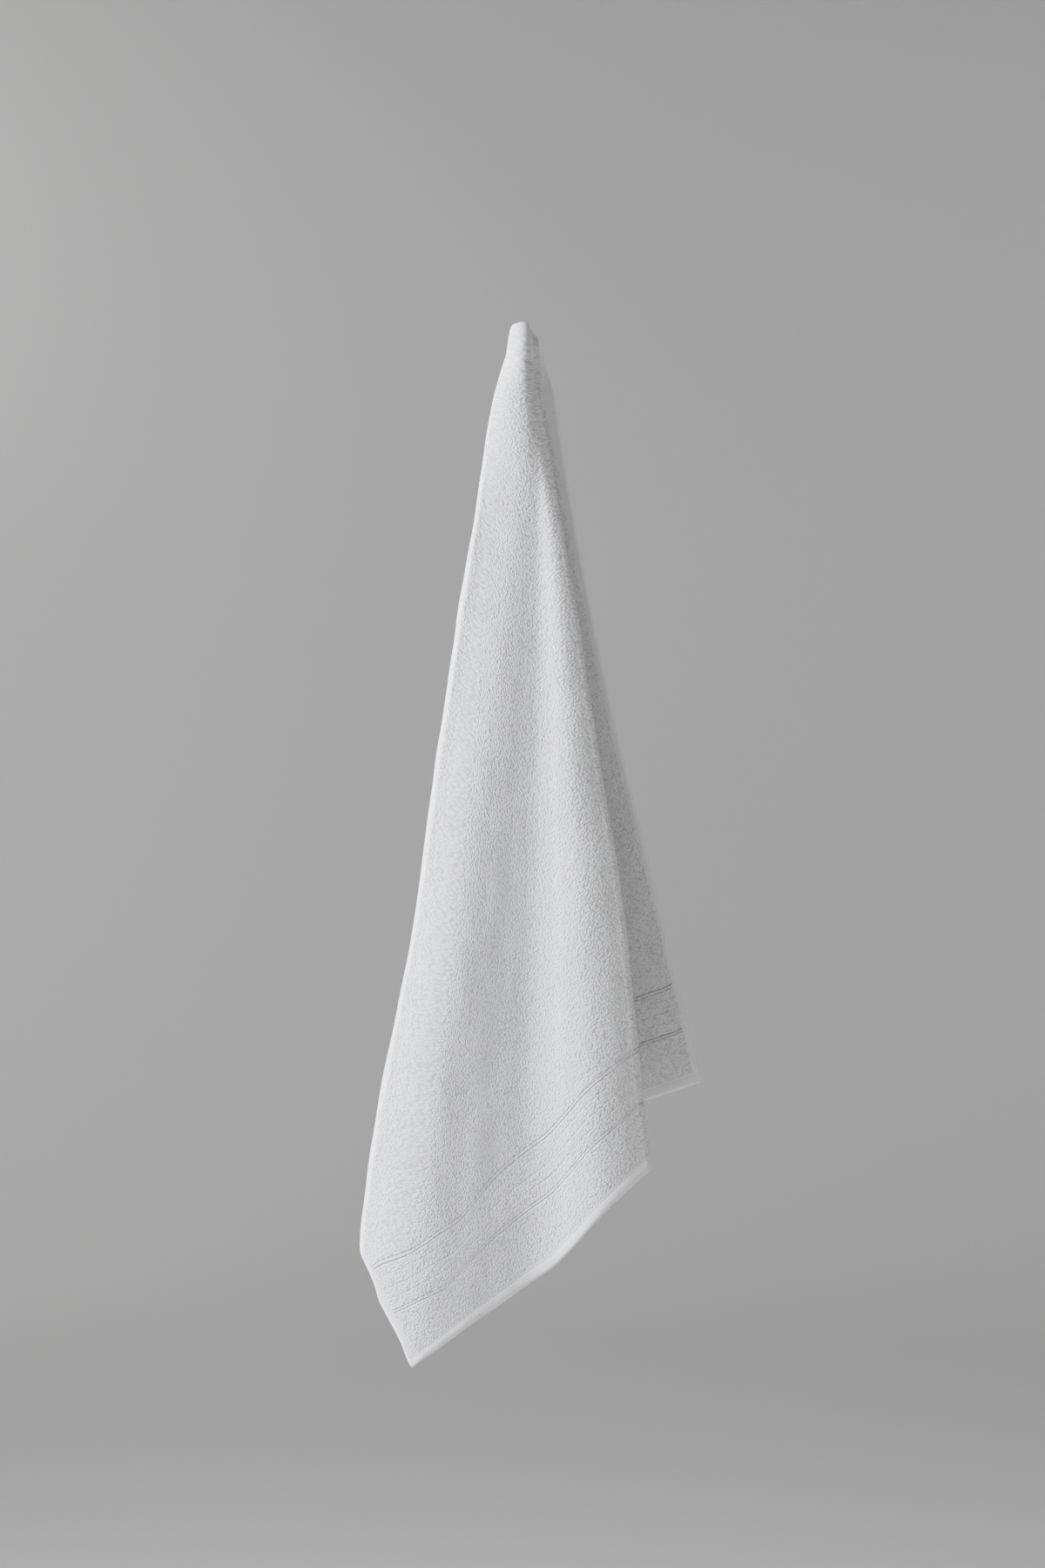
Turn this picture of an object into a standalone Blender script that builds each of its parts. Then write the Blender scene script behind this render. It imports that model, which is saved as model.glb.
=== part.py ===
"""White bath towel hanging from a plain peg hook, modelled in Blender 4.5.

Metres, +Z up. The wall is the plane Y = 0 and the viewer stands at -Y. The origin is the middle of the
back face of the hook's plate.

The towel is one rectangle of cloth that hangs from a point of its long edge, so every straight line that
runs from that point down the flat cloth hangs almost straight down, and the cloth between the lines is
pleated like a fan. A point of the cloth is named by its angle from the front half of the long edge and
by its distance from the hanging point.
"""
from math import atan2, cos, degrees, hypot, pi, radians, sin

import bmesh
import bpy
import numpy as np
from mathutils import Vector

# Towel, flat
TOWEL_WIDTH = 0.70
FRONT_DROP = 0.665
BACK_DROP = 0.735
HEM_DEPTH = 0.010
HEM_THICKNESS = 0.0034

FRONT_CORNER = degrees(atan2(TOWEL_WIDTH, FRONT_DROP))
BACK_CORNER = 180.0 - degrees(atan2(TOWEL_WIDTH, BACK_DROP))

# Hook
PLATE_WIDTH = 0.018
PLATE_HEIGHT = 0.040
PLATE_THICKNESS = 0.004
PLATE_BEVEL = 0.001
PEG_HEIGHT = 0.008
PEG_REACH = 0.050
ARM_RADIUS = 0.0045
COLLAR_RADIUS = 0.0075
COLLAR_LENGTH = 0.003
BALL_RADIUS = 0.008
FITTED_GAP = 0.0003

# How the cloth bends over the ball of the peg
BALL_SEAT = BALL_RADIUS + FITTED_GAP + 0.0010
LIP_ANGLE = radians(42)
CROWN_RADIUS = 0.025
CROWN_FADE = (0.020, 0.090)
BALL_TAKE_UP = 0.017
TAKE_UP_END = 0.30

# Folds in the order in which they follow each other along the cloth, from the front selvage to the back
# one: angle in the flat cloth, reach as a share of the widest fold on its side, layers that it joins
# (0 is the front panel, 9 the layer next to the wall), and how much of its length is lost at the hook
FOLD_COLUMNS = ("angle", "reach", "layer_before", "layer_after", "gathered")
FOLDS = (
    (0.0, 0.60, None, 2, 0.012),
    (13.5, -0.70, 2, 1, 0.020),
    (31.5, 1.00, 1, 0, -0.003),
    (51.7, -1.00, 0, 3, 0.024),
    (75.0, 0.93, 3, 4, 0.020),
    (95.0, -0.84, 4, 5, 0.040),
    (116.0, 0.86, 5, 6, 0.060),
    (BACK_CORNER, -0.72, 6, 7, 0.075),
    (151.5, 0.76, 7, 8, 0.060),
    (163.0, -0.30, 8, 9, 0.030),
    (180.0, 1.00, 9, None, 0.014),
)
FRONT_RIGHT_FOLD = 2
FRONT_LEFT_FOLD = 3
BACK_SELVAGE = 10

# Size of the hanging bundle at growing distances from the hanging point: where its left fold, its front
# right fold, its hidden right folds and its back selvage lie, how far its rear layer has swung back
# towards the wall, the distance between two layers, the cloth's thickness, and how far the front panel's
# relief gathers towards its right fold
LEVEL_COLUMNS = ("distance", "left", "right", "inner_right", "selvage", "back", "pitch", "thickness",
                 "gather")
LEVELS = np.array((
    (0.000, -0.0095, 0.0050, 0.0130, 0.0140, 0.000, 0.0025, 0.0012, 2.80),
    (0.020, -0.0162, 0.0062, 0.0140, 0.0190, 0.000, 0.0026, 0.0012, 2.75),
    (0.045, -0.0230, 0.0100, 0.0160, 0.0266, 0.003, 0.0030, 0.0015, 2.70),
    (0.090, -0.0305, 0.0180, 0.0190, 0.0336, 0.010, 0.0038, 0.0020, 2.60),
    (0.140, -0.0372, 0.0275, 0.0265, 0.0408, 0.017, 0.0043, 0.0024, 2.25),
    (0.250, -0.0535, 0.0450, 0.0430, 0.0594, 0.024, 0.0055, 0.0025, 1.62),
    (0.400, -0.0760, 0.0685, 0.0650, 0.0905, 0.030, 0.0065, 0.0025, 1.17),
    (0.550, -0.0970, 0.0915, 0.0860, 0.1270, 0.033, 0.0070, 0.0025, 1.00),
    (0.720, -0.1285, 0.1090, 0.1020, 0.1660, 0.035, 0.0075, 0.0025, 1.00),
    (0.860, -0.1490, 0.1260, 0.1150, 0.1990, 0.036, 0.0078, 0.0025, 1.00),
    (1.010, -0.1580, 0.1350, 0.1200, 0.2200, 0.037, 0.0080, 0.0025, 1.00),
))

# How the front panel hangs across its width, from its left fold to its right one: share of the cloth,
# share of the width that it takes, and length lost there. The middle, cut on the slant, gives under its
# weight.
FRONT_COLUMNS = ("cloth", "width", "lost")
FRONT_SPREAD = np.array((
    (0.000, 0.000, -0.0020),
    (0.070, 0.077, -0.0035),
    (0.140, 0.128, -0.0060),
    (0.215, 0.184, -0.0085),
    (0.280, 0.258, -0.0100),
    (0.410, 0.402, -0.0108),
    (0.510, 0.515, -0.0142),
    (0.610, 0.628, -0.0152),
    (0.730, 0.745, -0.0125),
    (0.820, 0.822, -0.0070),
    (0.900, 0.893, -0.0038),
    (1.000, 1.000, 0.0000),
))

# Soft relief of the front panel, from its left fold to its right one: share of its width, and how far it
# stands forward there as a share of that width, near the hook and lower down
RELIEF_COLUMNS = ("place", "near", "low")
RELIEF = np.array((
    (0.00, 0.000, 0.000),
    (0.08, 0.045, 0.024),
    (0.19, 0.090, 0.038),
    (0.34, 0.125, 0.024),
    (0.46, 0.125, 0.004),
    (0.57, 0.112, -0.008),
    (0.66, 0.094, 0.003),
    (0.73, 0.076, 0.021),
    (0.81, 0.053, 0.032),
    (0.91, 0.026, 0.022),
    (1.00, 0.000, 0.000),
))
RELIEF_START = (0.0, 0.05)
RELIEF_CHANGE = (0.07, 0.20)

# The wide turn of the left fold is pressed flat to this share of its height
WIDE_TURN_BULGE = 0.45

# Mesh
RUN_STEPS = (4, 5, 17, 5, 4, 4, 4, 4, 3, 6)
TURN_STEPS = 4
WIDE_TURN_STEPS = 6
REFERENCE_DISTANCE = 0.5
ROWS = (0.005, 0.010, 0.015, 0.020, 0.028, 0.040, 0.060, 0.090, 0.130, 0.190, 0.250, 0.320, 0.400,
        0.480, 0.560, 0.640, 0.720, 0.790, 0.850, 0.905, 0.950)


def clear_scene():
    for obj in list(bpy.data.objects):
        bpy.data.objects.remove(obj, do_unlink=True)


def make_material(name, colour, roughness, metallic=0.0):
    material = bpy.data.materials.new(name)
    material.use_nodes = True
    shader = material.node_tree.nodes["Principled BSDF"]
    shader.inputs["Base Color"].default_value = (*colour, 1.0)
    shader.inputs["Roughness"].default_value = roughness
    shader.inputs["Metallic"].default_value = metallic
    return material


def add_object(name, mesh, collection, material):
    obj = bpy.data.objects.new(name, mesh)
    collection.objects.link(obj)
    mesh.materials.append(material)
    return obj


def smooth_step(value, start, end):
    share = np.clip((value - start) / (end - start), 0.0, 1.0)
    return share * share * (3.0 - 2.0 * share)


def smooth_curve(value, places, heights):
    """Smooth curve through the points (places, heights), read at value."""
    slopes = np.gradient(heights, places)
    value = np.clip(value, places[0], places[-1])
    row = np.clip(np.searchsorted(places, value) - 1, 0, len(places) - 2)
    span = places[row + 1] - places[row]
    u = (value - places[row]) / span
    start = (1 + 2 * u) * (1 - u) ** 2 * heights[row] + u * (1 - u) ** 2 * span * slopes[row]
    end = u * u * (3 - 2 * u) * heights[row + 1] + u * u * (u - 1) * span * slopes[row + 1]
    return start + end


def level_value(column, distance):
    return smooth_curve(distance, LEVELS[:, 0], LEVELS[:, LEVEL_COLUMNS.index(column)])


def front_value(column, cloth_share):
    return smooth_curve(cloth_share, FRONT_SPREAD[:, 0], FRONT_SPREAD[:, FRONT_COLUMNS.index(column)])


def relief_value(column, place):
    return smooth_curve(place, RELIEF[:, 0], RELIEF[:, RELIEF_COLUMNS.index(column)])


def fold_column(column):
    return [fold[FOLD_COLUMNS.index(column)] for fold in FOLDS]


def fold_place(number, distance):
    """Sideways place of a fold's outermost line at a distance from the hanging point."""
    reach = fold_column("reach")[number]
    if number == BACK_SELVAGE:
        return level_value("selvage", distance)
    if number == FRONT_RIGHT_FOLD:
        return level_value("right", distance)
    if reach > 0:
        return reach * level_value("inner_right", distance)
    return -reach * level_value("left", distance)


def section_columns():
    """Columns of the cloth across all its layers, each as (kind, number of fold or run, share)."""
    columns = []
    for run, steps in enumerate(RUN_STEPS):
        if run > 0:
            fold = run
            turn_steps = WIDE_TURN_STEPS if fold == FRONT_LEFT_FOLD else TURN_STEPS
            columns += [("turn", fold, (i + 0.5) / turn_steps) for i in range(turn_steps)]
        first = 0 if run == 0 else 0.5
        last = steps if run == len(RUN_STEPS) - 1 else steps - 0.5
        shares = np.linspace(first / steps, last / steps, steps + 1)
        columns += [("run", run, share) for share in shares]
    return columns


def turn_shape(fold, distance):
    """Outermost place, bulge (to the right if positive), half height and middle depth of a fold's turn."""
    before = fold_column("layer_before")[fold]
    after = fold_column("layer_after")[fold]
    pitch = level_value("pitch", distance)
    half_height = abs(after - before) * pitch / 2
    bulge = half_height if fold_column("reach")[fold] > 0 else -half_height
    if fold == FRONT_LEFT_FOLD:
        bulge *= WIDE_TURN_BULGE
    return fold_place(fold, distance), bulge, half_height, (before + after) * pitch / 2


def run_end(fold, distance):
    """Where a flat run of cloth meets the turn of a fold, or ends at a selvage."""
    if fold in (0, BACK_SELVAGE):
        return fold_place(fold, distance)
    outermost, bulge, _, _ = turn_shape(fold, distance)
    return outermost - bulge


def column_point(column, distance, spread=True):
    """Sideways place, and depth behind the front layer, of a column at a distance."""
    kind, number, share = column
    if kind == "turn":
        outermost, bulge, half_height, middle = turn_shape(number, distance)
        rising = fold_column("layer_after")[number] > fold_column("layer_before")[number]
        angle = (share - 0.5) * pi * (1 if rising else -1)
        return outermost - bulge * (1 - cos(angle)), middle + half_height * sin(angle)
    layer = fold_column("layer_after")[number] * level_value("pitch", distance)
    start = run_end(number, distance)
    end = run_end(number + 1, distance)
    if spread and number == FRONT_RIGHT_FOLD:
        share = 1.0 - front_value("width", 1.0 - share)
    return start + (end - start) * share, layer


def column_angles(columns):
    """Angle of each column in the flat cloth, shared out by length between the folds.

    The column nearest to each corner of the cloth takes the corner's angle, and moves there along a run.
    """
    places = [column_point(column, REFERENCE_DISTANCE, spread=False) for column in columns]
    lengths = [0.0]
    for (x0, y0), (x1, y1) in zip(places, places[1:]):
        lengths.append(lengths[-1] + hypot(x1 - x0, y1 - y0))
    marks = [0.0]
    for fold in range(1, BACK_SELVAGE):
        turn = [length for length, column in zip(lengths, columns) if column[:2] == ("turn", fold)]
        marks.append((turn[0] + turn[-1]) / 2)
    marks.append(lengths[-1])
    angles = np.interp(lengths, marks, fold_column("angle"))
    for corner in (FRONT_CORNER, BACK_CORNER):
        i = np.argmin(abs(angles - corner))
        kind, number, share = columns[i]
        if kind == "run":
            share_per_degree = (columns[i + 1][2] - columns[i - 1][2]) / (angles[i + 1] - angles[i - 1])
            columns[i] = (kind, number, share + share_per_degree * (corner - angles[i]))
        angles[i] = corner
    return angles


def cloth_reach(angle):
    """Distance from the hanging point to the cloth's edge along an angle in degrees."""
    turn = radians(angle)
    if angle <= FRONT_CORNER:
        return FRONT_DROP / cos(turn)
    if angle >= BACK_CORNER:
        return BACK_DROP / -cos(turn)
    return TOWEL_WIDTH / sin(turn)


def front_relief(column, distance):
    """How far the front panel stands forward at a column."""
    kind, number, share = column
    if kind != "run" or number != FRONT_RIGHT_FOLD:
        return 0.0
    place = float(np.clip(front_value("width", 1.0 - share), 0.0, 1.0))
    near = relief_value("near", place)
    gather = level_value("gather", distance)
    low = relief_value("low", place ** gather) / gather
    height = near + (low - near) * smooth_step(distance, *RELIEF_CHANGE)
    width = run_end(FRONT_RIGHT_FOLD, distance) - run_end(FRONT_LEFT_FOLD, distance)
    return height * width * smooth_step(distance, *RELIEF_START)


def hang(column, angle, distance):
    """Place in space of a point of the cloth."""
    gathered = np.interp(angle, fold_column("angle"), fold_column("gathered"))
    if column[:2] == ("run", FRONT_RIGHT_FOLD):
        gathered += front_value("lost", 1.0 - column[2])
    level = max(distance - gathered * smooth_step(distance, 0.0, TAKE_UP_END), 0.0)
    across, depth = column_point(column, level)
    stack = fold_column("layer_before")[BACK_SELVAGE] * level_value("pitch", level)
    slant = across ** 2 / (2 * max(level, 0.1)) * min(level / 0.1, 1.0)
    along = (level if distance > 0.0 else distance) - slant
    along -= BALL_TAKE_UP * smooth_step(level, 0.0, TAKE_UP_END)
    crown = across ** 2 / (2 * CROWN_RADIUS) * (1.0 - smooth_step(along, *CROWN_FADE))
    outward = BALL_SEAT + stack - depth + front_relief(column, level) - crown
    bend = min(along / BALL_SEAT, pi / 2)
    y = -PEG_REACH - outward * sin(bend) + level_value("back", level)
    z = PEG_HEIGHT + outward * cos(bend) - max(along - BALL_SEAT * pi / 2, 0.0)
    return Vector((across, y, z))


def build_towel(collection, material):
    columns = section_columns()
    angles = column_angles(columns)
    lip = -BALL_SEAT * LIP_ANGLE
    lip_rows = (lip, lip * 2 / 3, lip / 3, 0.0)
    rows = [("lip", value) for value in lip_rows] + [("drop", share) for share in ROWS]
    front_rows = (1.0 - HEM_DEPTH / FRONT_DROP, 1.0)
    rows += [("drop", share) for share in front_rows]
    bm = bmesh.new()
    grid = []
    for kind, value in rows:
        line = []
        for column, angle in zip(columns, angles):
            distance = value if kind == "lip" else value * cloth_reach(angle)
            line.append(bm.verts.new(hang(column, angle, distance)))
        grid.append(line)
    for upper, lower in zip(grid, grid[1:]):
        for i in range(len(upper) - 1):
            bm.faces.new((upper[i], lower[i], lower[i + 1], upper[i + 1]))
    mesh = bpy.data.meshes.new("towel")
    bm.to_mesh(mesh)
    bm.free()
    towel = add_object("towel", mesh, collection, material)
    weights = towel.vertex_groups.new(name="thickness")
    for row, (kind, value) in enumerate(rows):
        for j, angle in enumerate(angles):
            distance = 0.0 if kind == "lip" else value * cloth_reach(angle)
            thickness = level_value("thickness", distance)
            if kind == "drop" and value in front_rows:
                thickness = HEM_THICKNESS
            weights.add([row * len(columns) + j], float(thickness / HEM_THICKNESS), "REPLACE")
    solid = towel.modifiers.new("thickness", "SOLIDIFY")
    solid.thickness = HEM_THICKNESS
    solid.offset = 0.0
    solid.vertex_group = "thickness"
    solid.use_even_offset = True
    return towel


def build_plate(collection, material):
    mesh = bpy.data.meshes.new("hook_plate")
    bm = bmesh.new()
    bmesh.ops.create_cube(bm, size=1.0)
    bmesh.ops.scale(bm, vec=(PLATE_WIDTH, PLATE_THICKNESS, PLATE_HEIGHT), verts=bm.verts)
    bm.to_mesh(mesh)
    bm.free()
    plate = add_object("hook_plate", mesh, collection, material)
    plate.location = (0.0, -PLATE_THICKNESS / 2, 0.0)
    edges = plate.modifiers.new("edges", "BEVEL")
    edges.width = PLATE_BEVEL
    edges.segments = 3
    edges.limit_method = "ANGLE"
    return plate


def build_peg(collection, material):
    """Turned peg: collar at the plate, straight arm and ball end. Its own +Z points to the viewer."""
    length = PEG_REACH - PLATE_THICKNESS - FITTED_GAP
    neck = (BALL_RADIUS ** 2 - ARM_RADIUS ** 2) ** 0.5
    ball_steps = 10
    neck_angle = atan2(ARM_RADIUS, -neck)
    profile = [(BALL_RADIUS * sin(a), length + BALL_RADIUS * cos(a))
               for a in np.linspace(0.0, neck_angle, ball_steps)]
    profile += [(ARM_RADIUS, COLLAR_LENGTH), (COLLAR_RADIUS, COLLAR_LENGTH),
                (COLLAR_RADIUS, 0.0), (0.0, 0.0)]
    mesh = bpy.data.meshes.new("hook_peg")
    mesh.from_pydata([(x, 0.0, z) for x, z in profile],
                     [(i, i + 1) for i in range(len(profile) - 1)], [])
    peg = add_object("hook_peg", mesh, collection, material)
    turn = peg.modifiers.new("turn", "SCREW")
    turn.steps = 32
    turn.render_steps = 32
    turn.use_merge_vertices = True
    turn.merge_threshold = 0.00001
    turn.use_smooth_shade = True
    peg.rotation_euler = (pi / 2, 0.0, 0.0)
    peg.location = (0.0, -PLATE_THICKNESS - FITTED_GAP, PEG_HEIGHT)
    return peg


def main():
    clear_scene()
    collection = bpy.data.collections.new("bath_towel_on_hook")
    bpy.context.scene.collection.children.link(collection)
    steel = make_material("hook_steel", (0.62, 0.61, 0.59), 0.32, metallic=1.0)
    terry = make_material("towel_terry", (0.88, 0.88, 0.87), 0.95)
    build_plate(collection, steel)
    build_peg(collection, steel)
    build_towel(collection, terry)


main()
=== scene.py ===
"""Looks of a white terry bath towel that hangs from a plain peg hook.

The towel is one rectangle of cloth hung from a point of its long edge. A point of the cloth is named by
its angle from the front half of that edge and by its distance from the hanging point. The cloth is
pleated like a fan over a section whose layers are counted from the front panel (0) to the one next to
the wall (9). Metres, +Z up, the wall is the plane Y = 0 and the viewer stands at -Y.
"""
from math import atan2, degrees, pi, radians

import bpy
import numpy as np
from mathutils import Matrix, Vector, noise


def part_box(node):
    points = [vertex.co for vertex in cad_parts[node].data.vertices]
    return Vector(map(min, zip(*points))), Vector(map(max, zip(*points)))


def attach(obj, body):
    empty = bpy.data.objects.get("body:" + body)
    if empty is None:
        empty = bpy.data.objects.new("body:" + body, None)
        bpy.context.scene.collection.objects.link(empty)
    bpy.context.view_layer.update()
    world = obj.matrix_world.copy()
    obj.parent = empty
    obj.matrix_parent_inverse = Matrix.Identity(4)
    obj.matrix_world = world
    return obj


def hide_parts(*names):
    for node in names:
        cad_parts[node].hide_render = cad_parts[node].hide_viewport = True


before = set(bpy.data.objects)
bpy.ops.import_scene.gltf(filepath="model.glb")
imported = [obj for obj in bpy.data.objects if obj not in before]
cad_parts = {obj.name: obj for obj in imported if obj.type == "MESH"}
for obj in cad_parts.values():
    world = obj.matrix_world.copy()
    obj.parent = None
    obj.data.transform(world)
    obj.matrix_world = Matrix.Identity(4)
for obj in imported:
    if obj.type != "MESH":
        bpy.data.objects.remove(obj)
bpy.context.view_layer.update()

# Towel, flat
TOWEL_WIDTH = 0.70
FRONT_DROP = 0.665
BACK_DROP = 0.735
TOWEL_LENGTH = FRONT_DROP + BACK_DROP
HEM_DEPTH = 0.010
SELVAGE_DEPTH = 0.0052
HEM_THICKNESS = 0.0034

# Woven lines near both hems: distance from the hem, and depth, negative where the line is raised. Then the
# distances from a line's middle between which its sides slope.
BORDER_LINES = (
    (0.0507, 0.7), (0.0520, -0.6), (0.0533, 0.7),
    (0.0640, 0.2), (0.0735, 0.3), (0.0840, 0.2),
    (0.0923, 0.9), (0.0939, -0.6), (0.0955, 0.9),
)
BORDER_LINE_SLOPE = (0.0003, 0.0011)

# Row of stitches along both hems
STITCH_ROW = 0.0086
STITCH_ROW_SLOPE = (0.0002, 0.0009)
STITCH_LENGTH = 0.0032

# Angles in the flat cloth at which its lower corners lie
FRONT_CORNER = degrees(atan2(TOWEL_WIDTH, FRONT_DROP))
BACK_CORNER = 180.0 - degrees(atan2(TOWEL_WIDTH, BACK_DROP))

# Terry pile: its height, how many loops, tufts, clumps and threads lie along a metre, and where it rises
# from the hems and the selvages
PILE_HEIGHT = 0.0007
LOOPS_PER_METRE = 540.0
TUFTS_PER_METRE = 700.0
CLUMPS_PER_METRE = 110.0
THREADS_PER_METRE = 900.0
PILE_RISE_AT_HEM = (HEM_DEPTH - 0.0006, HEM_DEPTH + 0.0014)
PILE_RISE_AT_SELVAGE = (SELVAGE_DEPTH - 0.0010, SELVAGE_DEPTH + 0.0014)
LINES_START_AT_SELVAGE = (SELVAGE_DEPTH, SELVAGE_DEPTH + 0.002)

# Height of each feature of the cloth as a share of the pile's. A border line's is times its own depth.
LOOP_SHARE = 0.9
TUFT_SHARE = 0.35
CLUMP_SHARE = 0.35
BARE_CLOTH_LEVEL = 0.8
BORDER_LINE_SHARE = -1.3
WEAVE_SHARE = 0.15
STITCH_SHARE = 0.2
STITCH_BEAT = 0.15

# Painted shade in a border line's groove and painted light along a raised line, painted light on bare
# cloth, and the tones between which the cloth's colour runs: level of the pile, colour. The low levels are
# painted shade in the hollows between the loops.
BORDER_LINE_SHADE = -0.16
BARE_CLOTH_PAINTED_LIGHT = 0.45
CLOTH_TONES_WITH_PAINTED_SHADE = (
    (0.45, (0.62, 0.62, 0.61, 1.0)),
    (1.00, (0.90, 0.90, 0.895, 1.0)),
)

# Hook, as the frame holds it
PEG_HEIGHT = 0.008
PEG_REACH = 0.050
BALL_RADIUS = 0.008
FITTED_GAP = 0.0003

# How the cloth bends over the ball of the peg. Its innermost layer's middle lies INNER_LAYER past the gap.
INNER_LAYER = 0.0010
BALL_SEAT = BALL_RADIUS + FITTED_GAP + INNER_LAYER
LIP_ANGLE = radians(42)
CROWN_RADIUS = 0.015
CROWN_FADE = (0.010, 0.055)
BALL_TAKE_UP = 0.017
TAKE_UP_END = 0.30

# Distance from the hanging point at which the slant of the layers counts in full
SLANT_START = 0.10

# Folds in the order in which they follow each other along the cloth: angle in the flat cloth, reach as a
# share of the widest fold on its side, layers that it joins, and length lost at the hook
FOLD_COLUMNS = ("angle", "reach", "layer_before", "layer_after", "gathered")
FOLDS = (
    (0.0, 0.60, None, 2, 0.012),
    (13.5, -0.70, 2, 1, 0.020),
    (31.5, 1.00, 1, 0, -0.003),
    (52.4, -1.00, 0, 3, 0.028),
    (75.0, 0.93, 3, 4, 0.020),
    (95.0, -0.84, 4, 5, 0.040),
    (116.0, 0.86, 5, 6, 0.060),
    (BACK_CORNER, -0.72, 6, 7, 0.075),
    (151.5, 0.76, 7, 8, 0.060),
    (163.0, -0.30, 8, 9, -0.004),
    (180.0, 1.00, 9, None, 0.014),
)
FRONT_RIGHT_FOLD = 2
FRONT_LEFT_FOLD = 3
BACK_SELVAGE = 10
BACK_RUN = 9

# Size of the hanging bundle at growing distances from the hanging point: where its left fold, its front
# right fold, its hidden right folds and its back selvage lie, how far its rear layer has swung back
# towards the wall, the distance between two layers, the cloth's thickness, and how far the front panel's
# relief gathers towards its right fold
LEVEL_COLUMNS = ("distance", "left", "right", "inner_right", "selvage", "back", "pitch", "thickness",
                 "gather")
LEVELS = np.array((
    (0.000, -0.0095, 0.0055, 0.0150, 0.0150, 0.000, 0.0025, 0.0012, 2.80),
    (0.020, -0.0158, 0.0080, 0.0168, 0.0195, 0.000, 0.0026, 0.0012, 2.75),
    (0.045, -0.0225, 0.0122, 0.0185, 0.0266, 0.003, 0.0030, 0.0015, 2.70),
    (0.090, -0.0305, 0.0195, 0.0205, 0.0336, 0.010, 0.0038, 0.0020, 2.60),
    (0.140, -0.0372, 0.0275, 0.0265, 0.0408, 0.017, 0.0043, 0.0024, 2.25),
    (0.250, -0.0535, 0.0450, 0.0430, 0.0594, 0.024, 0.0055, 0.0025, 1.62),
    (0.400, -0.0760, 0.0685, 0.0650, 0.0905, 0.030, 0.0065, 0.0025, 1.17),
    (0.550, -0.0970, 0.0915, 0.0860, 0.1270, 0.033, 0.0070, 0.0025, 1.00),
    (0.720, -0.1285, 0.1090, 0.1020, 0.1660, 0.035, 0.0075, 0.0025, 1.00),
    (0.860, -0.1490, 0.1260, 0.1150, 0.1990, 0.036, 0.0078, 0.0025, 1.00),
    (1.010, -0.1580, 0.1350, 0.1200, 0.2200, 0.037, 0.0080, 0.0025, 1.00),
))

# How the front panel hangs across its width, from its left fold to its right one: share of the cloth,
# share of the width that it takes up the panel and at its lower end, and length lost there. The columns
# bend towards the low corner over the last END_BEND.
FRONT_COLUMNS = ("cloth", "width", "end_width", "lost")
FRONT_SPREAD = np.array((
    (0.000, 0.000, 0.000, 0.0000),
    (0.060, 0.085, 0.043, -0.0031),
    (0.100, 0.190, 0.062, -0.0052),
    (0.140, 0.225, 0.094, -0.0070),
    (0.190, 0.258, 0.135, -0.0090),
    (0.256, 0.318, 0.181, -0.0127),
    (0.320, 0.365, 0.262, -0.0138),
    (0.400, 0.425, 0.370, -0.0126),
    (0.480, 0.491, 0.469, -0.0140),
    (0.560, 0.560, 0.556, -0.0163),
    (0.650, 0.640, 0.648, -0.0190),
    (0.740, 0.718, 0.733, -0.0145),
    (0.820, 0.790, 0.810, -0.0085),
    (0.900, 0.881, 0.890, -0.0045),
    (1.000, 1.000, 1.000, 0.0000),
))
END_BEND = 0.15

# Soft relief of the front panel, from its left fold to its right one: share of its width, and how far it
# stands forward there as a share of that width, near the hook and lower down
RELIEF_COLUMNS = ("place", "near", "low")
RELIEF = np.array((
    (0.00, 0.000, 0.000),
    (0.08, 0.038, 0.024),
    (0.19, 0.078, 0.039),
    (0.34, 0.112, 0.023),
    (0.46, 0.126, 0.001),
    (0.57, 0.129, -0.011),
    (0.66, 0.123, 0.001),
    (0.73, 0.112, 0.021),
    (0.81, 0.089, 0.034),
    (0.91, 0.049, 0.024),
    (1.00, 0.000, 0.000),
))

# Distances over which the relief sets in, and over which it changes from near to low
RELIEF_START = (0.0, 0.05)
RELIEF_CHANGE = (0.07, 0.20)

# The wide turn of the left fold is pressed flat to this share of its height
WIDE_TURN_BULGE = 0.45

# Small unevenness of the cloth: size of its waves and height from rest, and distances over which it sets in
WAVES = ((0.110, 0.0016), (0.038, 0.0007))
WAVES_START = (0.03, 0.25)

# Thickness across the hem and the selvage: distance from the edge, and thickness as a share of the
# hem's
HEM_PROFILE = np.array((
    (0.0000, 0.60),
    (0.0012, 0.80),
    (0.0035, 0.88),
    (0.0065, 0.87),
    (0.0086, 0.68),
    (0.0104, 0.72),
    (0.0130, 0.74),
))
SELVAGE_PROFILE = np.array((
    (0.0000, 0.40),
    (0.0010, 0.55),
    (0.0030, 0.60),
    (0.0052, 0.50),
    (0.0072, 0.74),
))

# The back selvage curls towards the wall
SELVAGE_CURL = 0.0018
SELVAGE_CURL_WIDTH = 0.0026

# Columns next to the back selvage: distances from it, and steps that make room for them. They close up
# where the run is narrower than 1 / EDGE_SHRINK metres.
EDGE_STEPS = (0.0070, 0.0052, 0.0040, 0.0026, 0.0012, 0.0)
EDGE_ROOM = 3
EDGE_SHRINK = 7.0

# Mesh: steps across the runs and turns of the cloth, and rows down it
RUN_STEPS = (6, 8, 88, 14, 6, 6, 6, 6, 10, 44)
TURN_STEPS = 6
WIDE_TURN_STEPS = 18
REFERENCE_DISTANCE = 0.85
LIP_ROWS = 5
TOP_ROWS = 22
TOP_ROWS_END = 0.06
BODY_ROWS = 64
BORDER_ROW_STEP = 0.0020
BORDER_ROWS_START = 0.100


def smooth_step(value, start, end):
    share = np.clip((value - start) / (end - start), 0.0, 1.0)
    return share * share * (3.0 - 2.0 * share)


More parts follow.
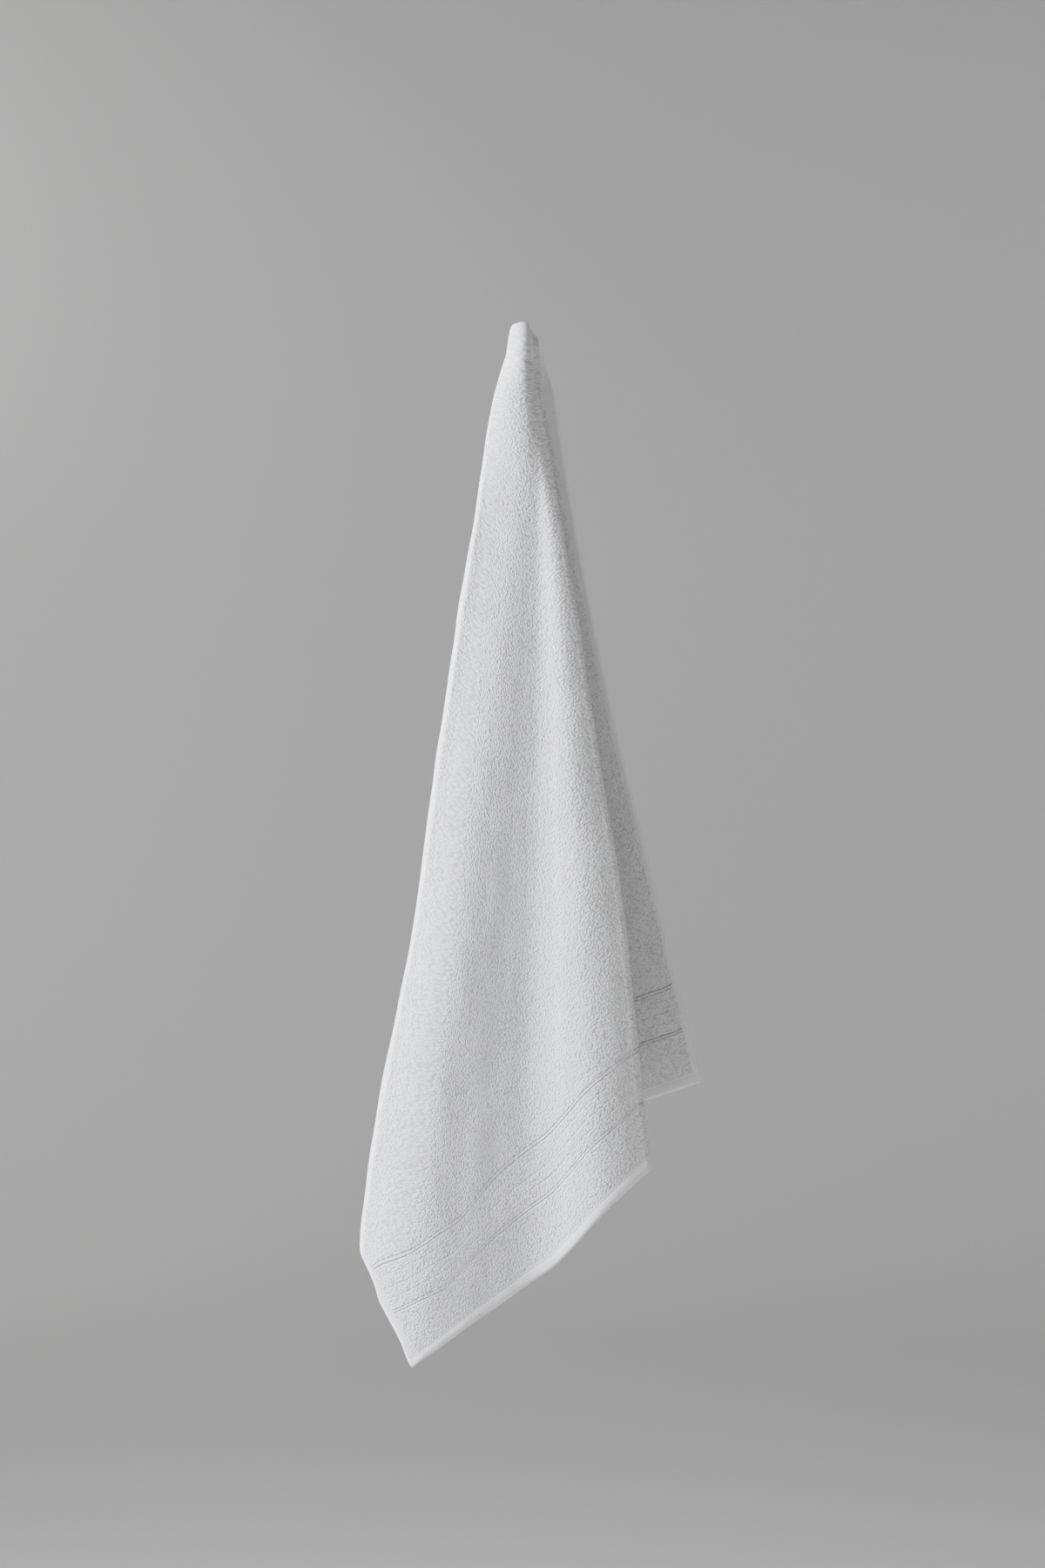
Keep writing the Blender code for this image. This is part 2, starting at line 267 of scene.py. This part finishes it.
def smooth_curve(value, places, heights):
    """Smooth curve through the points (places, heights), read at value."""
    slopes = np.gradient(heights, places)
    value = np.clip(value, places[0], places[-1])
    row = np.clip(np.searchsorted(places, value) - 1, 0, len(places) - 2)
    span = places[row + 1] - places[row]
    u = (value - places[row]) / span
    start = (1 + 2 * u) * (1 - u) ** 2 * heights[row] + u * (1 - u) ** 2 * span * slopes[row]
    end = u * u * (3 - 2 * u) * heights[row + 1] + u * u * (u - 1) * span * slopes[row + 1]
    return start + end


def level_value(column, distance):
    return smooth_curve(distance, LEVELS[:, 0], LEVELS[:, LEVEL_COLUMNS.index(column)])


def front_value(column, cloth_share):
    return smooth_curve(cloth_share, FRONT_SPREAD[:, 0], FRONT_SPREAD[:, FRONT_COLUMNS.index(column)])


def front_place(cloth_share, from_end):
    """Share of the front panel's width at which a column lies, at distances from the column's lower end."""
    held = 1.0 - np.clip(1.0 - from_end / END_BEND, 0.0, 1.0) ** 2
    end_place = front_value("end_width", cloth_share)
    return end_place + held * (front_value("width", cloth_share) - end_place)


def relief_value(column, place):
    return smooth_curve(place, RELIEF[:, 0], RELIEF[:, RELIEF_COLUMNS.index(column)])


def fold_column(column):
    return [fold[FOLD_COLUMNS.index(column)] for fold in FOLDS]


def fold_place(number, distance):
    """Sideways place of a fold's outermost line at a distance from the hanging point."""
    reach = fold_column("reach")[number]
    if number == BACK_SELVAGE:
        return level_value("selvage", distance)
    if number == FRONT_RIGHT_FOLD:
        return level_value("right", distance)
    if reach > 0:
        return reach * level_value("inner_right", distance)
    return -reach * level_value("left", distance)


def section_columns():
    """Columns of the cloth across all its layers, each as (kind, number of fold or run, share)."""
    columns = []
    for run, steps in enumerate(RUN_STEPS):
        if run > 0:
            turn_steps = WIDE_TURN_STEPS if run == FRONT_LEFT_FOLD else TURN_STEPS
            columns += [("turn", run, (i + 0.5) / turn_steps) for i in range(turn_steps)]
        first = 0 if run == 0 else 0.5
        last = steps if run == len(RUN_STEPS) - 1 else steps - 0.5
        if run == BACK_RUN:
            last -= EDGE_ROOM
        columns += [("run", run, share) for share in np.linspace(first / steps, last / steps, steps + 1)]
    columns += [("edge", BACK_RUN, margin) for margin in EDGE_STEPS]
    return columns


def turn_shape(fold, distance):
    """Outermost place, bulge (to the right if positive), half height and middle depth of a fold's turn."""
    before = fold_column("layer_before")[fold]
    after = fold_column("layer_after")[fold]
    pitch = level_value("pitch", distance)
    half_height = abs(after - before) * pitch / 2
    bulge = half_height if fold_column("reach")[fold] > 0 else -half_height
    if fold == FRONT_LEFT_FOLD:
        bulge *= WIDE_TURN_BULGE
    return fold_place(fold, distance), bulge, half_height, (before + after) * pitch / 2


def run_end(fold, distance):
    """Where a flat run of cloth meets the turn of a fold, or ends at a selvage."""
    if fold in (0, BACK_SELVAGE):
        return fold_place(fold, distance)
    outermost, bulge, _, _ = turn_shape(fold, distance)
    return outermost - bulge


def edge_margin(column, run_width):
    """Distance of a column from the back selvage, less where the run is still narrow."""
    return column[2] * np.minimum(1.0, EDGE_SHRINK * run_width)


def column_points(column, distance):
    """Sideways places, and depths behind the front layer, of a column at several distances."""
    kind, number, share = column
    if kind == "turn":
        outermost, bulge, half_height, middle = turn_shape(number, distance)
        rising = fold_column("layer_after")[number] > fold_column("layer_before")[number]
        angle = (share - 0.5) * pi * (1 if rising else -1)
        return outermost - bulge * (1 - np.cos(angle)), middle + half_height * np.sin(angle)
    layer = fold_column("layer_after")[number] * level_value("pitch", distance)
    start = run_end(number, distance)
    end = run_end(number + 1, distance)
    if kind == "edge":
        return end - edge_margin(column, end - start), layer
    return start + (end - start) * share, layer


def column_angles(columns):
    """Angle of each column in the flat cloth, shared out by length between the folds.

    The column nearest to each corner of the cloth takes the corner's angle, and moves there along a run.
    """
    reference = np.array([REFERENCE_DISTANCE])
    places = np.array([np.concatenate(column_points(c, reference)) for c in columns])
    steps = np.hypot(*np.diff(places, axis=0).T)
    lengths = np.concatenate(([0.0], np.cumsum(steps)))
    marks = [0.0]
    for fold in range(1, BACK_SELVAGE):
        turn = [length for length, column in zip(lengths, columns) if column[:2] == ("turn", fold)]
        marks.append((turn[0] + turn[-1]) / 2)
    marks.append(lengths[-1])
    angles = np.interp(lengths, marks, fold_column("angle"))
    for corner in (FRONT_CORNER, BACK_CORNER):
        i = np.argmin(abs(angles - corner))
        kind, number, share = columns[i]
        if kind == "run":
            share_per_degree = (columns[i + 1][2] - columns[i - 1][2]) / (angles[i + 1] - angles[i - 1])
            columns[i] = (kind, number, share + share_per_degree * (corner - angles[i]))
        angles[i] = corner
    return angles


def edge_drop(angle):
    """Distance from the hanging point to the straight edge that an angle runs to, square to it."""
    if angle <= FRONT_CORNER:
        return FRONT_DROP
    if angle >= BACK_CORNER:
        return BACK_DROP
    return TOWEL_WIDTH


def cloth_reach(angle):
    """Distance from the hanging point to the cloth's edge along an angle in degrees."""
    if angle <= FRONT_CORNER:
        return FRONT_DROP / np.cos(radians(angle))
    if angle >= BACK_CORNER:
        return -BACK_DROP / np.cos(radians(angle))
    return TOWEL_WIDTH / np.sin(radians(angle))


def front_relief(column, distance):
    """How far the front panel stands forward at a column."""
    kind, number, share = column
    if kind != "run" or number != FRONT_RIGHT_FOLD:
        return 0.0
    place = np.clip(1.0 - share, 0.0, 1.0)
    near = relief_value("near", place)
    gather = level_value("gather", distance)
    low = relief_value("low", place ** gather) / gather
    height = near + (low - near) * smooth_step(distance, *RELIEF_CHANGE)
    width = run_end(FRONT_RIGHT_FOLD, distance) - run_end(FRONT_LEFT_FOLD, distance)
    return height * width * smooth_step(distance, *RELIEF_START)


def hang(column, angle, distance):
    """Places in space of the points of a column at several distances, as an array of x, y, z."""
    kind, number, share = column
    gathered = np.interp(angle, fold_column("angle"), fold_column("gathered"))
    if kind == "run" and number == FRONT_RIGHT_FOLD:
        gathered += front_value("lost", 1.0 - share)
        column = (kind, number, 1.0 - front_place(1.0 - share, cloth_reach(angle) - distance))
    level = np.maximum(distance - gathered * smooth_step(distance, 0.0, TAKE_UP_END), 0.0)
    across, depth = column_points(column, level)
    stack = fold_column("layer_before")[BACK_SELVAGE] * level_value("pitch", level)
    slant = across ** 2 / (2 * np.maximum(level, SLANT_START)) * np.minimum(level / SLANT_START, 1.0)
    along = np.where(distance > 0.0, level, distance) - slant
    along -= BALL_TAKE_UP * smooth_step(level, 0.0, TAKE_UP_END)
    crown = across ** 2 / (2 * CROWN_RADIUS) * (1.0 - smooth_step(along, *CROWN_FADE))
    outward = BALL_SEAT + stack - depth + front_relief(column, level) - crown
    if kind == "edge":
        outward -= SELVAGE_CURL * max(0.0, 1.0 - share / SELVAGE_CURL_WIDTH) ** 2
    bend = np.minimum(along / BALL_SEAT, pi / 2)
    y = -PEG_REACH - outward * np.sin(bend) + level_value("back", level)
    z = PEG_HEIGHT + outward * np.cos(bend) - np.maximum(along - BALL_SEAT * pi / 2, 0.0)
    return np.stack((across, y, z), axis=1)


def row_distances(angle):
    """Distances of all the rows from the hanging point along an angle."""
    drop = edge_drop(angle)
    reach = cloth_reach(angle)
    lip = -BALL_SEAT * LIP_ANGLE
    top = np.linspace(0.0, TOP_ROWS_END, TOP_ROWS)
    body_end = 1.0 - BORDER_ROWS_START / drop
    body = np.linspace(TOP_ROWS_END, body_end, BODY_ROWS + 1)[1:]
    border = 1.0 - np.arange(BORDER_ROWS_START, 0.0, -BORDER_ROW_STEP)[1:] / drop
    shares = np.concatenate((top, body, border, [1.0]))
    return np.concatenate((np.linspace(lip, 0.0, LIP_ROWS + 1)[:-1], shares * reach))


def flat_places(column, angle, distance):
    """Places in the flat cloth: along it from the front hem, and down from the long edge that hangs."""
    held = np.maximum(distance, 0.0)
    if column[0] == "edge":
        width = run_end(BACK_SELVAGE, held) - run_end(BACK_RUN, held)
        return np.stack((FRONT_DROP + held, edge_margin(column, width)), axis=1)
    turn = radians(angle)
    return np.stack((FRONT_DROP - held * np.cos(turn), held * np.sin(turn)), axis=1)


def cloth_thickness(flats, distances):
    """Thickness as a share of the hem's, less along the selvages and where the cloth is pressed."""
    share = level_value("thickness", distances) / HEM_THICKNESS
    hem = np.minimum(flats[..., 0], TOWEL_LENGTH - flats[..., 0])
    share = np.where(hem < HEM_PROFILE[-1, 0], smooth_curve(hem, *HEM_PROFILE.T), share)
    selvage = np.minimum(flats[..., 1], TOWEL_WIDTH - flats[..., 1])
    edge = np.where(selvage < SELVAGE_PROFILE[-1, 0], smooth_curve(selvage, *SELVAGE_PROFILE.T), 1.0)
    return np.minimum(share, edge)


def cloth_waves(flats, distances):
    """Small unevenness of the cloth, the same on every run of the script."""
    waves = np.zeros(distances.shape)
    for size, height in WAVES:
        for place in np.ndindex(distances.shape):
            along, down = flats[place]
            waves[place] += height * noise.noise(Vector((along / size, down / size, size)))
    return waves * smooth_step(distances, *WAVES_START)


def build_towel():
    columns = section_columns()
    angles = [180.0 if column[0] == "edge" else angle
              for column, angle in zip(columns, column_angles(columns))]
    distances = np.array([row_distances(angle) for angle in angles])
    parts = list(zip(columns, angles, distances))
    points = np.array([hang(column, angle, distance) for column, angle, distance in parts])
    flats = np.array([flat_places(column, angle, distance) for column, angle, distance in parts])
    normals = np.cross(np.gradient(points, axis=0), np.gradient(points, axis=1))
    normals /= np.maximum(np.linalg.norm(normals, axis=2, keepdims=True), 1e-12)
    points += normals * cloth_waves(flats, distances)[..., None]

    mesh = bpy.data.meshes.new("towel_cloth")
    index = np.arange(distances.size).reshape(distances.shape)
    faces = np.stack((index[:-1, :-1], index[:-1, 1:], index[1:, 1:], index[1:, :-1]), axis=-1)
    mesh.from_pydata(points.reshape(-1, 3).tolist(), [], faces.reshape(-1, 4).tolist())
    corners = np.zeros(len(mesh.loops), np.int32)
    mesh.loops.foreach_get("vertex_index", corners)
    places = flats.reshape(-1, 2)[corners] / TOWEL_LENGTH
    mesh.uv_layers.new(name="flat").data.foreach_set("uv", places.astype(np.float32).ravel())
    mesh.shade_smooth()
    towel = bpy.data.objects.new("towel_cloth", mesh)
    bpy.context.scene.collection.objects.link(towel)
    group = towel.vertex_groups.new(name="thickness")
    for i, share in enumerate(cloth_thickness(flats, distances).ravel()):
        group.add([i], float(share), "REPLACE")
    solid = towel.modifiers.new("thickness", "SOLIDIFY")
    solid.thickness = HEM_THICKNESS
    solid.offset = 0.0
    solid.vertex_group = "thickness"
    return towel


class Nodes:
    """Short way to add shader nodes to a material and link them."""

    def __init__(self, material):
        material.use_nodes = True
        self.tree = material.node_tree
        self.shader = self.tree.nodes["Principled BSDF"]

    def add(self, kind, inputs=(), **settings):
        node = self.tree.nodes.new(kind)
        for name, value in settings.items():
            setattr(node, name, value)
        for name, value in dict(inputs).items():
            self.put(node.inputs[name], value)
        return node

    def put(self, socket, value):
        if hasattr(value, "is_output"):
            self.tree.links.new(value, socket)
        else:
            socket.default_value = value

    def math(self, operation, first, second=0.0, third=0.0):
        node = self.add("ShaderNodeMath", operation=operation)
        for socket, value in zip(node.inputs, (first, second, third)):
            self.put(socket, value)
        return node.outputs[0]

    def smooth(self, value, start, end):
        """0 below start and 1 above end, smooth between them."""
        inputs = {"Value": value, "From Min": start, "From Max": end}
        node = self.add("ShaderNodeMapRange", inputs, interpolation_type="SMOOTHSTEP")
        return node.outputs["Result"]


def cloth_masks(nodes):
    """Flat place, its distances from the hanging edge and the nearer hem, pile and border lines there."""
    place = nodes.add("ShaderNodeUVMap", uv_map="flat").outputs["UV"]
    scaled = nodes.add("ShaderNodeVectorMath", {0: place}, operation="SCALE")
    nodes.put(scaled.inputs["Scale"], TOWEL_LENGTH)
    metres = scaled.outputs["Vector"]
    parts = nodes.add("ShaderNodeSeparateXYZ", {"Vector": metres})
    off_middle = nodes.math("SUBTRACT", parts.outputs["X"], TOWEL_LENGTH / 2)
    hem = nodes.math("SUBTRACT", TOWEL_LENGTH / 2, nodes.math("ABSOLUTE", off_middle))
    off_centre = nodes.math("SUBTRACT", parts.outputs["Y"], TOWEL_WIDTH / 2)
    selvage = nodes.math("SUBTRACT", TOWEL_WIDTH / 2, nodes.math("ABSOLUTE", off_centre))
    pile = nodes.math("MULTIPLY", nodes.smooth(hem, *PILE_RISE_AT_HEM),
                      nodes.smooth(selvage, *PILE_RISE_AT_SELVAGE))
    grooves = 0.0
    for line, depth in BORDER_LINES:
        off_line = nodes.math("ABSOLUTE", nodes.math("SUBTRACT", hem, line))
        groove = nodes.math("SUBTRACT", 1.0, nodes.smooth(off_line, *BORDER_LINE_SLOPE))
        grooves = nodes.math("MULTIPLY_ADD", groove, depth, grooves)
    grooves = nodes.math("MULTIPLY", grooves, nodes.smooth(selvage, *LINES_START_AT_SELVAGE))
    return metres, parts.outputs["Y"], hem, pile, grooves


def terry_material():
    """White terry: short looped pile, flat hems and selvages, woven border lines and a stitched hem."""
    material = bpy.data.materials.new("white_terry")
    nodes = Nodes(material)
    metres, down, hem, pile, grooves = cloth_masks(nodes)
    loops = nodes.add("ShaderNodeTexVoronoi", {"Vector": metres, "Scale": LOOPS_PER_METRE})
    tufts = nodes.add("ShaderNodeTexNoise", {"Vector": metres, "Scale": TUFTS_PER_METRE, "Detail": 2.0})
    clumps = nodes.add("ShaderNodeTexNoise", {"Vector": metres, "Scale": CLUMPS_PER_METRE, "Detail": 3.0,
                                              "Roughness": 0.6})
    domes = nodes.math("SUBTRACT", 1.0, loops.outputs["Distance"])
    raised = nodes.math("MULTIPLY", domes, LOOP_SHARE)
    fluff = nodes.math("MULTIPLY_ADD", tufts.outputs["Fac"], TUFT_SHARE, raised)
    fluff = nodes.math("MULTIPLY_ADD", clumps.outputs["Fac"], CLUMP_SHARE, fluff)
    bare = nodes.math("SUBTRACT", 1.0, pile)
    standing = nodes.math("MULTIPLY_ADD", bare, BARE_CLOTH_LEVEL, nodes.math("MULTIPLY", fluff, pile))
    pile_height = nodes.math("MULTIPLY_ADD", grooves, BORDER_LINE_SHARE, standing)

    weave = nodes.add("ShaderNodeTexNoise", {"Vector": metres, "Scale": THREADS_PER_METRE, "Detail": 1.0})
    flat_cloth = nodes.math("MULTIPLY", bare, WEAVE_SHARE)
    off_stitch = nodes.math("ABSOLUTE", nodes.math("SUBTRACT", hem, STITCH_ROW))
    stitch_row = nodes.math("SUBTRACT", 1.0, nodes.smooth(off_stitch, *STITCH_ROW_SLOPE))
    beat = nodes.math("SINE", nodes.math("MULTIPLY", down, 2 * pi / STITCH_LENGTH))
    dashes = nodes.math("MULTIPLY_ADD", beat, STITCH_BEAT, STITCH_SHARE)
    stitches = nodes.math("MULTIPLY", stitch_row, dashes)
    height = nodes.math("MULTIPLY_ADD", weave.outputs["Fac"], flat_cloth, pile_height)
    height = nodes.math("SUBTRACT", height, stitches)
    bump = nodes.add("ShaderNodeBump", {"Strength": 1.0, "Distance": PILE_HEIGHT, "Height": height})

    # Painted shade: the colour darkens with the pile's height into the hollows between the loops and in the
    # border lines' grooves, and is painted lighter along the raised lines
    painted_shade = nodes.math("MULTIPLY_ADD", grooves, BORDER_LINE_SHADE, fluff)
    # Painted light: the bare hems and selvages are coloured lighter than the pile
    painted_light_and_shade = nodes.math("MULTIPLY_ADD", bare, BARE_CLOTH_PAINTED_LIGHT, painted_shade)
    colour = nodes.add("ShaderNodeValToRGB", {"Fac": painted_light_and_shade})
    for element, (level, tone) in zip(colour.color_ramp.elements, CLOTH_TONES_WITH_PAINTED_SHADE):
        element.position = level
        element.color = tone
    nodes.put(nodes.shader.inputs["Base Color"], colour.outputs["Color"])
    nodes.put(nodes.shader.inputs["Normal"], bump.outputs["Normal"])
    nodes.shader.inputs["Roughness"].default_value = 0.95
    nodes.shader.inputs["Specular IOR Level"].default_value = 0.15
    nodes.shader.inputs["Sheen Weight"].default_value = 0.15
    nodes.shader.inputs["Sheen Roughness"].default_value = 0.6
    return material


def steel_material():
    material = bpy.data.materials.new("satin_steel")
    nodes = Nodes(material)
    place = nodes.add("ShaderNodeTexCoord").outputs["Object"]
    stretched = nodes.add("ShaderNodeMapping", {"Vector": place, "Scale": (1.0, 1.0, 12.0)})
    grain = nodes.add("ShaderNodeTexNoise", {"Vector": stretched.outputs["Vector"], "Scale": 300.0,
                                             "Detail": 4.0})
    rough = nodes.add("ShaderNodeMapRange", {"Value": grain.outputs["Fac"], "To Min": 0.26, "To Max": 0.42})
    bump = nodes.add("ShaderNodeBump", {"Strength": 0.15, "Distance": 0.0002,
                                        "Height": grain.outputs["Fac"]})
    colour = nodes.add("ShaderNodeValToRGB", {"Fac": grain.outputs["Fac"]})
    colour.color_ramp.elements[0].color = (0.50, 0.49, 0.48, 1.0)
    colour.color_ramp.elements[1].color = (0.68, 0.67, 0.65, 1.0)
    nodes.put(nodes.shader.inputs["Base Color"], colour.outputs["Color"])
    nodes.put(nodes.shader.inputs["Roughness"], rough.outputs["Result"])
    nodes.put(nodes.shader.inputs["Normal"], bump.outputs["Normal"])
    nodes.shader.inputs["Metallic"].default_value = 1.0
    return material


def set_material(obj, material):
    obj.data.materials.clear()
    obj.data.materials.append(material)


def build_stage():
    """Pale studio floor that rises in a wide cove far behind and around the object."""
    floor_height = -1.70
    floor_radius = 5.0
    cove_radius = 2.0
    cove_steps = 12
    wall_top = 5.0
    steps_around = 96
    profile = [(0.0, floor_height), (floor_radius, floor_height)]
    for step in range(1, cove_steps + 1):
        turn = pi / 2 * step / cove_steps
        profile.append((floor_radius + cove_radius * np.sin(turn),
                        floor_height + cove_radius * (1 - np.cos(turn))))
    profile.append((floor_radius + cove_radius, wall_top))
    mesh = bpy.data.meshes.new("studio_floor")
    mesh.from_pydata([(x, 0.0, z) for x, z in profile],
                     [(i, i + 1) for i in range(len(profile) - 1)], [])
    floor = bpy.data.objects.new("studio_floor", mesh)
    bpy.context.scene.collection.objects.link(floor)
    turn = floor.modifiers.new("turn", "SCREW")
    turn.steps = steps_around
    turn.render_steps = steps_around
    turn.use_merge_vertices = True
    turn.merge_threshold = 0.0001
    turn.use_smooth_shade = True
    material = bpy.data.materials.new("studio_floor")
    nodes = Nodes(material)
    nodes.shader.inputs["Base Color"].default_value = (0.70, 0.695, 0.685, 1.0)
    nodes.shader.inputs["Roughness"].default_value = 0.9
    set_material(floor, material)


def add_light(name, place, aim, size, power, colour):
    data = bpy.data.lights.new(name, "AREA")
    data.shape = "DISK"
    data.size = size
    data.energy = power
    data.color = colour
    light = bpy.data.objects.new(name, data)
    light.location = place
    light.rotation_euler = (Vector(aim) - Vector(place)).to_track_quat("-Z", "Y").to_euler()
    light.visible_camera = False
    bpy.context.scene.collection.objects.link(light)


def build_lights():
    """Large soft key from the left, weak fill from the right, light on the cove behind, pale world."""
    aim = Vector((0.0, -0.06, -0.36))
    for name, azimuth, elevation, distance, size, power, colour in (
        ("key", 75.0, 17.0, 2.2, 0.8, 255.0, (0.91, 0.925, 1.0)),
        ("fill", -60.0, 8.0, 4.5, 3.0, 22.0, (1.0, 0.98, 0.95)),
    ):
        turn, lift = radians(azimuth), radians(elevation)
        away = Vector((-np.sin(turn) * np.cos(lift), -np.cos(turn) * np.cos(lift), np.sin(lift)))
        add_light(name, aim + away * distance, aim, size, power, colour)
    backdrop_place = Vector((-2.5, 5.0, 1.5))
    backdrop_aim = Vector((-1.5, 7.0, -0.5))
    add_light("backdrop", backdrop_place, backdrop_aim, 2.0, 34.0, (1.0, 0.99, 0.97))
    world = bpy.data.worlds.new("studio")
    world.use_nodes = True
    background = world.node_tree.nodes["Background"]
    background.inputs["Color"].default_value = (1.0, 0.985, 0.955, 1.0)
    background.inputs["Strength"].default_value = 0.19
    bpy.context.scene.world = world


def build_camera():
    """Level camera straight in front. One photo pixel is 0.8 mm in the plane of the hanging cloth."""
    distance = 3.20
    cloth_plane = -0.060
    pixel = 0.0008
    frame_height = 1800
    towel_top_row = 368
    top_above_middle = (frame_height / 2 - towel_top_row) * pixel
    sensor = 36.0
    data = bpy.data.cameras.new("camera")
    data.sensor_width = sensor
    data.lens = sensor * distance / (frame_height * pixel)
    camera = bpy.data.objects.new("camera", data)
    towel_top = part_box("towel")[1].z
    camera.location = (0.0, cloth_plane - distance, towel_top - top_above_middle)
    camera.rotation_euler = (pi / 2, 0.0, 0.0)
    bpy.context.scene.collection.objects.link(camera)
    bpy.context.scene.camera = camera


build_camera()
build_lights()
build_stage()
towel = build_towel()
set_material(towel, terry_material())
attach(towel, "root")
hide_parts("towel")
steel = steel_material()
for name in ("hook_plate", "hook_peg"):
    set_material(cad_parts[name], steel)
